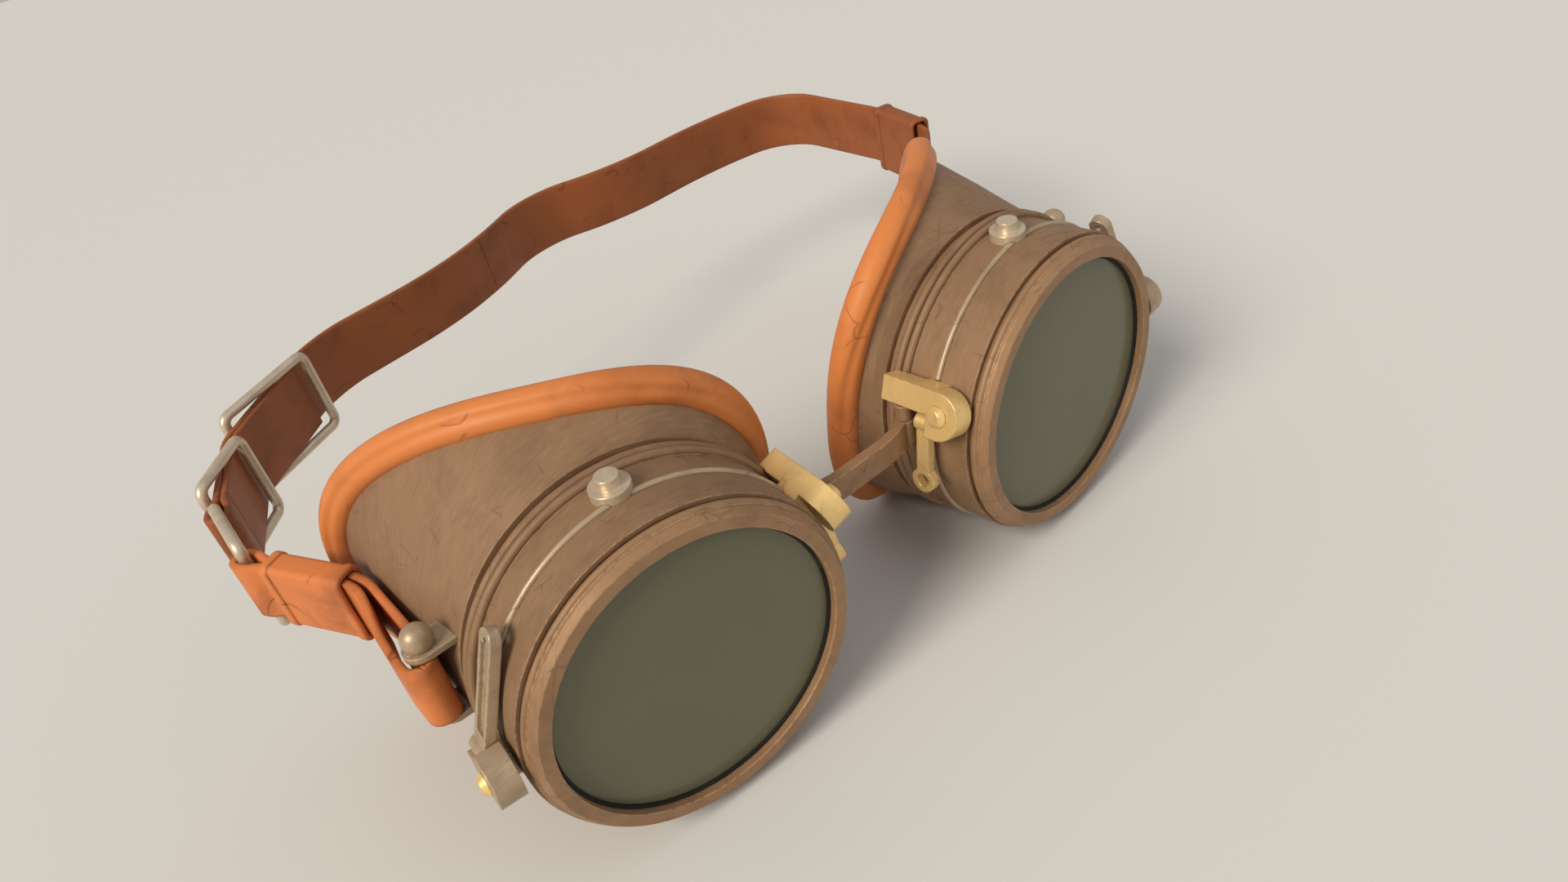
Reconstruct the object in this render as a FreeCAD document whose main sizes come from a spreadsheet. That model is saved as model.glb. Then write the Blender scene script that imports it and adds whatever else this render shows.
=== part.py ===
import FreeCAD, Part
import math
import os
import re
import Sketcher

# Round-lens goggles: two turned barrels with screwed bezels, flared face cups with rolled leather
# pads, latch blocks and levers, a bent nose bridge and a leather head strap with its hardware.
# The frame stands as the goggles stand: origin midway between the two lens mouths, +X to the right
# seen from in front, -Y to the front, +Z up. All lengths in millimetres, all angles in degrees.

V = FreeCAD.Vector
X_AXIS = V(1, 0, 0)
Y_AXIS = V(0, 1, 0)
Z_AXIS = V(0, 0, 1)

SIZES = (
    # stance of the two cups
    ("lens_spacing", 82.4),
    ("cup_toe", 4.55),
    ("rest_pitch", 5.9),
    # bezel, lens and seals
    ("lip_cover", 2.0),
    ("lip_radius", "=lens_radius - lip_cover"),
    ("lip_depth", 1.3),
    ("lip_width", 2.0),
    ("bezel_wall", 0.5),
    ("bezel_radius", "=lens_radius + lens_play + bezel_wall"),
    ("bezel_length", 6.4),
    ("bezel_cone", 1.0),
    ("bezel_bead", 0.6),
    ("bezel_gap", 0.3),
    ("lens_radius", 25.0),
    ("lens_thickness", 2.0),
    ("lens_play", 0.2),
    ("seal_thickness", 0.5),
    ("seal_lip", 0.5),
    ("seal_play", 0.02),
    ("thread_clearance", 0.15),
    # barrel
    ("gasket_ledge", 1.8),
    ("barrel_bore", "=lens_radius - gasket_ledge"),
    ("barrel_wall", 0.85),
    ("barrel_radius", "=bezel_radius + thread_clearance + barrel_wall"),
    ("ridge_place", 17.0),
    ("ridge_pitch", 1.6),
    ("ridge_bead", 0.7),
    ("ridge_height", 0.4),
    ("neck_step", 0.3),
    ("neck_radius", "=barrel_radius - neck_step"),
    ("neck_length", 3.0),
    ("barrel_length", "=ridge_place + ridge_pitch / 2 + ridge_bead + neck_step + neck_length"),
    ("wire_place", 10.0),
    ("wire_radius", 0.5),
    ("wire_clearance", 0.05),
    ("upper_wire_start", 34.0),
    # flared cup and rolled pad
    ("collar_length", 1.8),
    ("cup_front", "=barrel_length - collar_length"),
    ("cup_wall", 1.0),
    ("cup_bow", 0.2),
    ("rim_shift", 2.5),
    ("rim_center", "=lens_spacing / 2 - rim_shift"),
    ("rim_rise", 1.8),
    ("rim_flare", 2.2),
    ("rim_half_width", "=neck_radius + rim_flare"),
    ("rim_tallness", 4.45),
    ("rim_half_height", "=neck_radius + rim_tallness"),
    ("cup_length", 15.35),
    ("rim_depth", "=barrel_length + cup_length"),
    ("rim_sweep", 19.4),
    ("rim_curve", 7.95),
    ("rim_lean", 6.35),
    ("pad_radius", 2.8),
    ("seat_gap", 0.15),
    # stud over the wire
    ("stud_place", 12.0),
    ("stud_radius", 3.0),
    ("stud_height", 1.5),
    ("stud_sink", 0.8),
    ("stud_cap_radius", 1.75),
    ("stud_cap_height", 1.6),
    # latch blocks and their levers
    ("block_half", 4.0),
    ("block_gap", 0.8),
    ("block_stand", "=barrel_radius + block_gap"),
    ("block_height", 3.8),
    ("block_foot", 1.2),
    ("foot_front", 7.0),
    ("foot_back", 11.6),
    ("arm_drop", 0.3),
    ("ridge_clearance", 0.15),
    ("nose_angle", 160.0),
    ("nose_block_front", 2.0),
    ("block_end", 4.5),
    ("nose_block_back", "=barrel_length - block_end"),
    ("nose_boss_back", 8.1),
    ("temple_angle", 2.0),
    ("temple_block_front", 1.0),
    ("temple_block_back", 11.6),
    ("temple_boss_back", 6.5),
    ("head_radius", 1.9),
    ("head_height", 1.0),
    ("lever_seat", 1.8),
    ("lever_stand", "=block_stand + lever_seat"),
    ("lever_drop", 2.3),
    ("lever_knuckle", 1.5),
    ("lever_thickness", 1.6),
    ("lever_side_gap", 0.15),
    ("lever_pin_radius", 0.7),
    ("running_clearance", 0.06),
    ("nose_lever_length", 11.0),
    ("nose_lever_width", 2.4),
    ("nose_lever_lean", 12.0),
    ("nose_eye_radius", 2.2),
    ("nose_eye_hole", 1.2),
    ("temple_lever_length", 17.0),
    ("temple_lever_width", 3.6),
    ("temple_lever_lean", 21.5),
    ("temple_eye_hole", 0.6),
    ("lever_flange", 0.6),
    ("lever_recess", 0.7),
    # nose bridge
    ("bridge_pin_inset", 1.0),
    ("bridge_pin_side", "=block_stand + bridge_pin_inset"),
    ("bridge_pin_edge", 3.7),
    ("bridge_pin_depth", "=nose_block_back - bridge_pin_edge"),
    ("bridge_pin_radius", 0.8),
    ("bridge_collar_radius", 1.4),
    ("bridge_collar_height", 1.0),
    ("bridge_middle", 5.0),
    ("bridge_height", 4.5),
    ("bridge_thickness", 1.8),
    ("bridge_bow", 1.6),
    ("bridge_eye_radius", 1.6),
    ("end_play", 0.15),
    ("pin_reach", 10.2),
    # strap tabs at the temple
    ("pin_stand", 2.6),
    ("pin_side", "=lens_spacing / 2 + neck_radius + pin_stand"),
    ("pin_lag", 3.4),
    ("pin_depth", "=barrel_length + pin_lag"),
    ("strap_rise", 4.3),
    ("strap_pin_radius", 0.9),
    ("tab_inside", 5.8),
    ("tab_thickness", 1.0),
    ("tab_radius", 2.7),
    ("tab_reach", 6.0),
    ("ball_inset", 1.5),
    ("ball_radius", 2.3),
    ("ball_height", 1.4),
    # leather
    ("strap_width", 14.5),
    ("strap_thickness", 1.2),
    ("strap_splay", 27.0),
    ("loop_width", 11.0),
    ("loop_rise", 5.3),
    ("loop_half_gap", 2.0),
    ("lobe_lead", 0.7),
    ("lobe_length", 7.8),
    ("pinch_tuck", 1.2),
    ("pinch_side", "=pin_side - pinch_tuck"),
    ("pinch_run", 22.3),
    ("pinch_depth", "=pin_depth + pinch_run"),
    ("pinch_half_gap", 0.8),
    ("loop_length", 24.8),
    ("sleeve_length", 20.0),
    ("layer_gap", 0.1),
    ("keeper_start", 2.5),
    ("keeper_length", 16.5),
    ("keeper_wall", 0.7),
    ("keeper_play", 0.2),
    ("keeper_border", 1.6),
    ("keeper_raise", 0.35),
    ("strap_spread", 100.0),
    ("strap_depth", 154.0),
    ("strap_bend", 10.0),
    ("strap_curve", 25.0),
    ("strap_entry", 22.0),
    ("strap_inset", 5.0),
    # ring, slider and buckle
    ("hardware_wire", 1.0),
    ("hardware_corner", 1.8),
    ("hardware_play", 0.5),
    ("fold_clearance", 0.1),
    ("fold_reach", 3.7),
    ("ring_toe", 2.0),
    ("ring_length", 16.0),
    ("slider_length", 16.0),
    ("buckle_length", 23.0),
    ("rivet_place", 13.0),
    ("rivet_radius", 1.0),
    ("rivet_head", 1.9),
    ("rivet_rise", 0.7),
    ("cut_overrun", 1.0),
)

# Share of each outline or run, chosen by eye
RIM_SQUARE_SHARE = 0.8
CORNER_RUN_SHARE = 0.45
SLIDER_RUN_SHARE = 0.55
BUCKLE_RUN_SHARE = 0.44
TAIL_RUN_SHARE = 0.70
BRIDGE_BEND_SHARE = 0.55
HEAD_DOME_SHARE = 0.6
# Back of the head strap, as shares of its spread and its depth: the left corner, the wave across
# the back and the round turn on the right
STRAP_ROUTE_SHARES = (
    (-0.709, 0.704),
    (-0.454, 0.860),
    (-0.155, 0.886),
    (0.009, 0.923),
    (0.202, 0.998),
    (0.433, 0.948),
    (0.742, 0.960),
    (1.000, 0.929),
    (1.010, 0.690),
    (0.968, 0.549),
)
KEEPER_RUN_SHARE = 0.13
FOLD_ROUND_SHARE = 0.85
STATIONS = 24
# Points nearer to each other than this are one point
MEETING = 1e-6

doc = FreeCAD.newDocument("goggles")
sheet = doc.addObject("Spreadsheet::Sheet", "sizes")
for row, (alias, value) in enumerate(SIZES, start=1):
    sheet.set(f"A{row}", alias)
    sheet.setAlias(f"B{row}", alias)
for alias, value in SIZES:
    sheet.set(alias, str(value))
doc.recompute()


def size(alias):
    """A driving dimension, read from the sheet."""
    return float(sheet.get(alias))


def bound(text):
    """An expression on the sheet: every word with an underscore is a cell of it."""
    return re.sub(r"[a-z]+(?:_[a-z]+)+", r"sizes.\g<0>", text)


def turn(axis, angle):
    return FreeCAD.Placement(V(), FreeCAD.Rotation(axis, angle))


def shift(x=0.0, y=0.0, z=0.0):
    return FreeCAD.Placement(V(x, y, z), FreeCAD.Rotation())


# The whole pair leans forward on beads and pads, and each cup turns out a little
PITCH = turn(X_AXIS, size("rest_pitch"))
TOE = shift(x=size("lens_spacing") / 2).multiply(turn(Z_AXIS, size("cup_toe")))
CUP = PITCH.multiply(TOE)
nodes = {}


def azimuth(angle):
    """Frame on the cup's axis: X outwards at that angle from the temple, Z to the front."""
    return turn(X_AXIS, 90).multiply(turn(Z_AXIS, angle))


def primitive(kind, name, at=None, **properties):
    """A primitive whose sizes are bound to the sheet; x, y and z place it in its own frame."""
    piece = doc.addObject("Part::" + kind, name)
    if at is not None:
        piece.Placement = at
    for prop, text in properties.items():
        path = f"Placement.Base.{prop}" if prop in ("x", "y", "z") else prop
        piece.setExpression(path, bound(text))
    return piece


def fused(name, *pieces):
    whole = doc.addObject("Part::MultiFuse", name)
    whole.Shapes = list(pieces)
    return whole


def cut(name, base, *tools):
    whole = doc.addObject("Part::Cut", name)
    whole.Base = base
    whole.Tool = tools[0] if len(tools) == 1 else fused(name + "_tools", *tools)
    return whole


def solid_of(name, shape):
    piece = doc.addObject("Part::Feature", name)
    piece.Shape = shape
    return piece


def keep(piece, name, placement):
    """Name a finished sub-part and set it in its place."""
    piece.Label = name
    piece.Placement = placement
    nodes[name] = piece


def both_sides(piece, name, placement=CUP):
    """The right-hand sub-part, and its mirror image on the left."""
    keep(piece, "right_" + name, placement)
    mirror = doc.addObject("Part::Mirroring", "left_" + name)
    mirror.Source = piece
    mirror.Normal = X_AXIS
    mirror.Label = "left_" + name
    nodes["left_" + name] = mirror


# Turned pieces: a sketched half section, revolved about the cup's axis


def pin_coordinate(sketch, kind, line, text):
    """Hold the start of a sketched line at a bound distance from the sketch's origin."""
    if text == "0":
        axis = -2 if kind == "DistanceX" else -1
        sketch.addConstraint(Sketcher.Constraint("PointOnObject", line, 1, axis))
        return
    index = sketch.addConstraint(Sketcher.Constraint(kind, -1, 1, line, 1, 1.0))
    sketch.setExpression(f"Constraints[{index}]", bound(text))


def turned(name, profile):
    """A body turned from (radius, depth) corners about the Y axis."""
    body = doc.addObject("PartDesign::Body", name)
    sketch = body.newObject("Sketcher::SketchObject", name + "_section")
    plane = next(f for f in body.Origin.OriginFeatures if f.Role == "XY_Plane")
    sketch.AttachmentSupport = [(plane, "")]
    sketch.MapMode = "FlatFace"
    count = len(profile)
    start = [turn(Z_AXIS, 360 * i / count).multVec(X_AXIS) for i in range(count)]
    for i in range(count):
        sketch.addGeometry(Part.LineSegment(start[i], start[(i + 1) % count]))
    for i in range(count):
        sketch.addConstraint(Sketcher.Constraint("Coincident", i, 2, (i + 1) % count, 1))
    for i, (radius, depth) in enumerate(profile):
        pin_coordinate(sketch, "DistanceX", i, radius)
        pin_coordinate(sketch, "DistanceY", i, depth)
    revolve = body.newObject("PartDesign::Revolution", name + "_turning")
    revolve.Profile = sketch
    revolve.ReferenceAxis = (sketch, ["V_Axis"])
    revolve.Angle = 360
    return body


def ring_bead(body, kind, name, radius, depth, section):
    """A round bead or a round groove on a turned body."""
    bead = body.newObject("PartDesign::" + kind, name)
    bead.Placement = turn(X_AXIS, 90)
    bead.setExpression("Radius1", bound(radius))
    bead.setExpression("Radius2", bound(section))
    bead.setExpression("Placement.Base.y", bound(depth))
    return bead


BEZEL_BORE = "lens_radius + lens_play"
LENS_FRONT = "lip_depth + seal_thickness"
LENS_BACK = "lip_depth + seal_thickness + lens_thickness"
SPIGOT_FRONT = "lip_depth + 2 * seal_thickness + lens_thickness"
RIDGE_OUTSIDE = "barrel_radius + ridge_height + ridge_bead"


def make_bezels():
    bezel = turned("bezel", (
        ("lip_radius", "0"),
        ("lip_radius + lip_width", "0"),
        ("bezel_radius", "bezel_cone"),
        ("bezel_radius", "bezel_length"),
        (BEZEL_BORE, "bezel_length"),
        (BEZEL_BORE, "lip_depth"),
        ("lip_radius", "lip_depth"),
    ))
    ring_bead(bezel, "AdditiveTorus", "bezel_bead_ring", "bezel_radius",
              "bezel_cone + 2 * bezel_bead", "bezel_bead")
    both_sides(bezel, "bezel")


def make_glass():
    both_sides(turned("lens", (
        ("0", LENS_FRONT),
        ("lens_radius", LENS_FRONT),
        ("lens_radius", LENS_BACK),
        ("0", LENS_BACK),
    )), "lens")
    for name, front, back in (("front_seal", "lip_depth + seal_play", LENS_FRONT),
                              ("rear_gasket", LENS_BACK, SPIGOT_FRONT)):
        both_sides(turned(name, (
            ("lip_radius - seal_lip", front),
            ("lens_radius", front),
            ("lens_radius", back),
            ("lip_radius - seal_lip", back),
        )), name)


def make_barrels():
    """A flanged tube with a slot at its front for the bezel's skirt, two ridges and a wire groove."""
    spigot = BEZEL_BORE + " - thread_clearance"
    sleeve = "bezel_radius + thread_clearance"
    front = "bezel_cone + 3 * bezel_bead + bezel_gap"
    slot_end = "bezel_length + bezel_gap"
    neck = "ridge_place + ridge_pitch / 2 + ridge_bead"
    barrel = turned("lens_barrel", (
        ("barrel_bore", SPIGOT_FRONT),
        (spigot, SPIGOT_FRONT),
        (spigot, slot_end),
        (sleeve, slot_end),
        (sleeve, front),
        ("barrel_radius", front),
        ("barrel_radius", neck),
        ("neck_radius", neck + " + barrel_radius - neck_radius"),
        ("neck_radius", "barrel_length"),
        ("barrel_bore", "barrel_length"),
    ))
    for side, sign in (("front", "-"), ("back", "+")):
        ring_bead(barrel, "AdditiveTorus", f"ridge_{side}", "barrel_radius + ridge_height",
                  f"ridge_place {sign} ridge_pitch / 2", "ridge_bead")
    ring_bead(barrel, "SubtractiveTorus", "wire_groove", "barrel_radius", "wire_place",
              "wire_radius + wire_clearance")
    both_sides(barrel, "lens_barrel")


# Flared cup and rolled pad: closed lofts round the cup


def rim_point(angle):
    """Middle of the rolled pad at an angle from the temple: a squarish ring swept back to it."""
    across = math.cos(math.radians(angle))
    up = math.sin(math.radians(angle))
    across = math.copysign(abs(across) ** RIM_SQUARE_SHARE, across)
    up = math.copysign(abs(up) ** RIM_SQUARE_SHARE, up)
    depth = size("rim_depth") + size("rim_sweep") * across + size("rim_curve") * across ** 2
    return V(size("rim_center") + size("rim_half_width") * across,
             depth - size("rim_lean") * up,
             size("rim_rise") + size("rim_half_height") * up)


def rim_frame(angle):
    """Rim point, pad direction there, foot of the cup's wall and the wall's direction to the rim."""
    step = 360 / STATIONS / 2
    radius = size("neck_radius") + size("cup_wall")
    point = rim_point(angle)
    along = (rim_point(angle + step) - rim_point(angle - step)).normalize()
    foot = TOE.multVec(azimuth(angle).multVec(V(radius, 0, -size("cup_front"))))
    wall = (point - foot).normalize()
    return point, along, foot, wall


def cup_section(angle):
    """Wall of the cup from its collar on the barrel to its seat on the pad, a little bowed."""
    point, along, foot, wall = rim_frame(angle)
    thick = size("cup_wall")
    inwards = along.cross(wall)
    slant = inwards.Length
    inwards = inwards * math.copysign(1 / slant, inwards.dot(rim_point(angle + 180) - point))
    edge = point - wall * ((size("pad_radius") + size("seat_gap")) / slant)
    middle = (foot + edge) * 0.5 - inwards * size("cup_bow")
    inner_foot = TOE.multVec(azimuth(angle).multVec(V(size("neck_radius"), 0, -size("cup_front"))))
    corners = (foot, middle, edge, edge + inwards * thick, middle + inwards * thick, inner_foot)
    return Part.makePolygon([*corners, corners[0]])


def pad_section(angle):
    """Round section of the leather roll, square to its run, in two arcs."""
    point, along, foot, wall = rim_frame(angle)
    side = (Y_AXIS - along * Y_AXIS.dot(along)).normalize() * size("pad_radius")
    out = along.cross(side)
    arcs = [Part.Arc(point + side, point + out, point - side),
            Part.Arc(point - side, point - out, point + side)]
    return Part.Wire([arc.toShape() for arc in arcs])


def make_face_cups():
    angles = [360 * i / STATIONS for i in range(STATIONS)]
    for name, section in (("face_cup", cup_section), ("face_pad", pad_section)):
        loft = Part.makeLoft([section(angle) for angle in angles], True, False, True)
        both_sides(solid_of(name, loft), name, PITCH)


# Retaining wires and the stud over them


def make_wires():
    """Round wires in the barrel's groove, from the temple lever to the nose block and on below."""
    block = "asin((block_half + wire_clearance) / (barrel_radius - wire_radius))"
    reach = math.degrees(math.asin((size("block_half") + size("wire_clearance"))
                                   / (size("barrel_radius") - size("wire_radius"))))
    spans = (("upper_wire", size("upper_wire_start"), f"(nose_angle - upper_wire_start) * 1 deg - {block}"),
             ("lower_wire", size("nose_angle") + reach,
              f"(360 + temple_angle - nose_angle) * 1 deg - 2 * {block}"))
    for name, start, span in spans:
        wire = primitive("Torus", name, Radius1="barrel_radius", Radius2="wire_radius", Angle3=span)
        place = shift(y=size("wire_place")).multiply(azimuth(start))
        both_sides(wire, name, CUP.multiply(place))


def make_studs():
    """A washer and a domed cap, sunk on the barrel and notched for the wire under it."""
    washer = primitive("Cylinder", "stud_washer", Radius="stud_radius",
                       Height="stud_height + stud_sink", z="barrel_radius - stud_sink")
    cap = primitive("Cylinder", "stud_cap", Radius="stud_cap_radius",
                    Height="stud_cap_height", z="barrel_radius + stud_height")
    seat = primitive("Cylinder", "stud_seat", turn(X_AXIS, 90), Radius="barrel_radius",
                     Height="barrel_length", y="barrel_length / 2")
    notch = primitive("Torus", "stud_notch", turn(X_AXIS, 90), Radius1="barrel_radius",
                      Radius2="wire_radius + wire_clearance", y="wire_place - stud_place")
    stud = cut("wire_stud", fused("stud_blank", washer, cap), seat, notch)
    both_sides(stud, "wire_stud", CUP.multiply(shift(y=size("stud_place"))))


# Latch blocks and levers, in the frame of azimuth(): X outwards, Y round the barrel, Z to the front


def latch_block(name, front, back, boss_back):
    """A slab with a round front end, cut away behind its boss on the lever's side, on a fitted foot."""
    boss = primitive("Cylinder", name + "_boss", turn(Y_AXIS, 90), Radius="block_half",
                     Height="block_height", x="block_stand", z=f"-({front} + block_half)")
    slab = primitive("Box", name + "_slab", Length="block_height", Width="2 * block_half",
                     Height=f"{back} - {front} - block_half", x="block_stand",
                     y="-block_half", z=f"-{back}")
    foot = primitive("Box", name + "_foot", Length="block_foot + block_stand - barrel_radius",
                     Width="2 * block_half", Height="foot_back - foot_front",
                     x="barrel_radius - block_foot", y="-block_half", z="-foot_back")
    relief = primitive("Box", name + "_relief", Length="block_height + block_foot + cut_overrun",
                       Width="block_half + cut_overrun", Height=f"{back} - {boss_back} + cut_overrun",
                       x="block_stand - block_foot", y="arm_drop", z=f"-({back} + cut_overrun)")
    seat = primitive("Cylinder", name + "_seat", Radius="barrel_radius",
                     Height=f"{back} + cut_overrun", z=f"-({back} + cut_overrun)")
    ridge = primitive("Cylinder", name + "_ridge", Radius=RIDGE_OUTSIDE + " + ridge_clearance",
                      Height="ridge_pitch + 2 * ridge_bead + 2 * ridge_clearance",
                      z="-(ridge_place + ridge_pitch / 2 + ridge_bead + ridge_clearance)")
    pin_hole = primitive("Cylinder", name + "_pin_hole", Radius="lever_pin_radius",
                         Height=f"{boss_back} - {front} - block_half + cut_overrun", x="lever_stand",
                         y="lever_drop", z=f"-({boss_back} + cut_overrun)")
    blank = fused(name + "_blank", boss, slab, foot)
    return cut(name, blank, relief, seat, ridge, pin_hole)


def latch_lever(name, length, width, eye_radius, eye_hole):
    """A flat leg with a knuckle at its pivot (the origin) and a round eye at its far end along Y."""
    knuckle = primitive("Cylinder", name + "_knuckle", Radius="lever_knuckle", Height=width,
                        z=f"-({width}) / 2")
    leg = primitive("Box", name + "_leg", Length="lever_thickness", Width=length, Height=width,
                    x="-lever_thickness / 2", z=f"-({width}) / 2")
    eye = primitive("Cylinder", name + "_eye", turn(Y_AXIS, 90), Radius=eye_radius,
                    Height="lever_thickness", x="-lever_thickness / 2", y=length)
    bore = primitive("Cylinder", name + "_bore", Radius="lever_pin_radius + running_clearance",
                     Height=f"{width} + 2 * cut_overrun", z=f"-({width}) / 2 - cut_overrun")
    hole = primitive("Cylinder", name + "_hole", turn(Y_AXIS, 90), Radius=eye_hole,
                     Height="lever_thickness + 2 * cut_overrun",
                     x="-lever_thickness / 2 - cut_overrun", y=length)
    return fused(name + "_blank", knuckle, leg, eye), bore, hole


def make_latch(side, eye_radius, channel):
    """Block, head, lever and pivot pin on one side of the cup."""
    front, back, boss_back = f"{side}_block_front", f"{side}_block_back", f"{side}_boss_back"
    length, width = f"{side}_lever_length", f"{side}_lever_width"
    frame = CUP.multiply(azimuth(size(side + "_angle")))
    both_sides(latch_block(side + "_block", front, back, boss_back), side + "_block", frame)
    head = primitive("Cone", side + "_head", turn(Y_AXIS, 90), Radius1="head_radius",
                     Radius2=f"head_radius * {HEAD_DOME_SHARE}", Height="head_height")
    face = V(size("block_stand") + size("block_height"), 0, -size(front) - size("block_half"))
    both_sides(head, "nose_rivet" if side == "nose" else "temple_screw",
               frame.multiply(shift(*face)).multiply(turn(Y_AXIS, 90)))
    blank, bore, hole = latch_lever(side + "_lever", length, width, eye_radius, f"{side}_eye_hole")
    tools = [bore, hole]
    if channel:
        tools.append(primitive("Box", side + "_channel", Length="lever_recess + cut_overrun",
                               Width=f"{length} - 2 * lever_knuckle", Height=f"{width} - 2 * lever_flange",
                               x="lever_thickness / 2 - lever_recess", y="lever_knuckle + cut_overrun",
                               z=f"-({width}) / 2 + lever_flange"))
    pivot_depth = size(boss_back) + size("lever_side_gap") + size(width) / 2
    pivot = frame.multiply(shift(size("lever_stand"), size("lever_drop"), -pivot_depth))
    both_sides(cut(side + "_lever", blank, *tools), side + "_lever",
               pivot.multiply(turn(Z_AXIS, size(side + "_lever_lean"))))
    pin = primitive("Cylinder", side + "_lever_pin", Radius="lever_pin_radius",
                    Height=f"{boss_back} - {front} - block_half + lever_side_gap + {width}")
    tail = V(size("lever_stand"), size("lever_drop"), -pivot_depth - size(width) / 2)
    both_sides(pin, side + "_lever_pin", frame.multiply(shift(*tail)))


# Flat bands: a route of straight runs with rounded corners, given a thickness and a width


def rounded_route(points, radii, closed=False):
    """Corners of a flat route as (entry, exit, centre, side, radius); a corner's side is its turn's sign."""
    corners = []
    count = len(points)
    for i in (range(count) if closed else range(1, count - 1)):
        before, here, after = points[i - 1], points[i], points[(i + 1) % count]
        run_in, run_out = here - before, after - here
        shorter = min(run_in.Length, run_out.Length)
        run_in.normalize()
        run_out.normalize()
        half = run_in.getAngle(run_out) / 2
        side = math.copysign(1, run_in.cross(run_out).z)
        radius = radii[i] or CORNER_RUN_SHARE * shorter / math.tan(half)
        reach = radius * math.tan(half)
        entry, leave = here - run_in * reach, here + run_out * reach
        centre = entry + Z_AXIS.cross(run_in) * side * radius
        corners.append((entry, leave, centre, side, radius))
    return corners


def straight(start, end):
    """The straight edge between two points, or none where they meet."""
    return [] if start.isEqual(end, MEETING) else [Part.LineSegment(start, end).toShape()]


def route_edges(points, corners, offset, closed=False):
    """Edges of the route moved sideways by an offset, to the left of its direction."""
    edges = []
    last = None
    if not closed:
        first = (corners[0][0] - points[0]).normalize()
        last = points[0] + Z_AXIS.cross(first) * offset
    for entry, leave, centre, side, radius in corners:
        scale = (radius - side * offset) / radius
        start, end = centre + (entry - centre) * scale, centre + (leave - centre) * scale
        middle = centre + ((start + end) * 0.5 - centre).normalize() * radius * scale
        if last is not None:
            edges += straight(last, start)
        edges.append(Part.Arc(start, middle, end).toShape())
        last = end
    if closed:
        edges += straight(last, edges[0].Vertexes[0].Point)
    else:
        final = (points[-1] - corners[-1][1]).normalize()
        edges += straight(last, points[-1] + Z_AXIS.cross(final) * offset)
    return edges


def band(points, thickness, bottom, height, radii=None, closed=False):
    """A flat band of a thickness, standing on its edge, along a route in plan."""
    radii = radii or {}
    corners = rounded_route(points, [radii.get(i) for i in range(len(points))], closed)
    left = route_edges(points, corners, thickness / 2, closed)
    right = route_edges(points, corners, -thickness / 2, closed)
    if closed:
        faces = sorted((Part.Face(Part.Wire(Part.__sortEdges__(side))) for side in (left, right)),
                       key=lambda face: face.Area)
        face = faces[1].cut(faces[0]).Faces[0]
    else:
        ends = [Part.LineSegment(a.Vertexes[i].Point, b.Vertexes[i].Point).toShape()
                for a, b, i in ((left[0], right[0], 0), (left[-1], right[-1], -1))]
        face = Part.Face(Part.Wire(Part.__sortEdges__(left + right + ends)))
    face.translate(V(0, 0, bottom))
    return face.extrude(V(0, 0, height))


def upright_cylinder(radius, bottom, top, at):
    return Part.makeCylinder(radius, top - bottom, V(at.x, at.y, bottom))


# Nose bridge and its pins


def bridge_pivot():
    return TOE.multVec(V(-size("bridge_pin_side"), size("bridge_pin_depth"), 0))


def make_bridge():
    right = bridge_pivot()
    bend = V(right.x * BRIDGE_BEND_SHARE, right.y - size("bridge_bow"), 0)
    flip = V(-1, 1, 1)
    route = [V(p.x * flip.x, p.y, 0) for p in (right, bend)] + [bend, right]
    bottom = size("bridge_middle") - size("bridge_height") / 2
    top = bottom + size("bridge_height")
    strip = band(route, size("bridge_thickness"), bottom, size("bridge_height"))
    overrun = size("cut_overrun")
    for pivot in (route[0], route[-1]):
        strip = strip.fuse(upright_cylinder(size("bridge_eye_radius"), bottom, top, pivot))
    for pivot in (route[0], route[-1]):
        hole = size("bridge_pin_radius") + size("running_clearance")
        strip = strip.cut(upright_cylinder(hole, bottom - overrun, top + overrun, pivot))
    keep(solid_of("nose_bridge", strip.removeSplitter()), "nose_bridge", PITCH)


def make_bridge_pins():
    """A shouldered pin that hangs from the block's arm, with a head under the strip."""
    play = size("end_play")
    bottom = size("bridge_middle") - size("bridge_height") / 2 - play
    top = bottom + size("bridge_height") + 2 * play
    at = V(-size("bridge_pin_side"), size("bridge_pin_depth"), 0)
    collar = size("bridge_collar_radius")
    pin = upright_cylinder(size("bridge_pin_radius"), bottom, top, at)
    pin = pin.fuse(upright_cylinder(collar, top, size("pin_reach"), at))
    pin = pin.fuse(upright_cylinder(collar, bottom - size("bridge_collar_height"), bottom, at))
    block = nodes["right_nose_block"].Shape.copy()
    block.transformShape(CUP.inverse().toMatrix())
    pin = max(pin.cut(block).Solids, key=lambda solid: solid.Volume)
    both_sides(solid_of("bridge_pin", pin), "bridge_pin")


# Strap bracket, pin, loops and keepers


def side_point(sign, along, out=0.0):
    """A point of the strap's line at the temple, from the pinch behind its lobe backwards and outwards."""
    splay = math.radians(size("strap_splay"))
    x = size("pinch_side") + along * math.sin(splay) + out * math.cos(splay)
    y = size("pinch_depth") + along * math.cos(splay) - out * math.sin(splay)
    return V(sign * x, y, 0)


def tab_on_cup(bottom, cup):
    """A round-ended tab from the cup's side to the strap pin, outside the cup only."""
    radius, thick, reach = size("tab_radius"), size("tab_thickness"), size("tab_reach")
    at = V(size("pin_side") - size("ball_inset"), size("pin_depth"), 0)
    tab = Part.makeBox(reach, 2 * radius, thick, V(at.x - reach, at.y - radius, bottom))
    tab = tab.fuse(upright_cylinder(radius, bottom, bottom + thick, at))
    return max(tab.cut(cup).Solids, key=lambda solid: solid.BoundBox.XMax)


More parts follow.
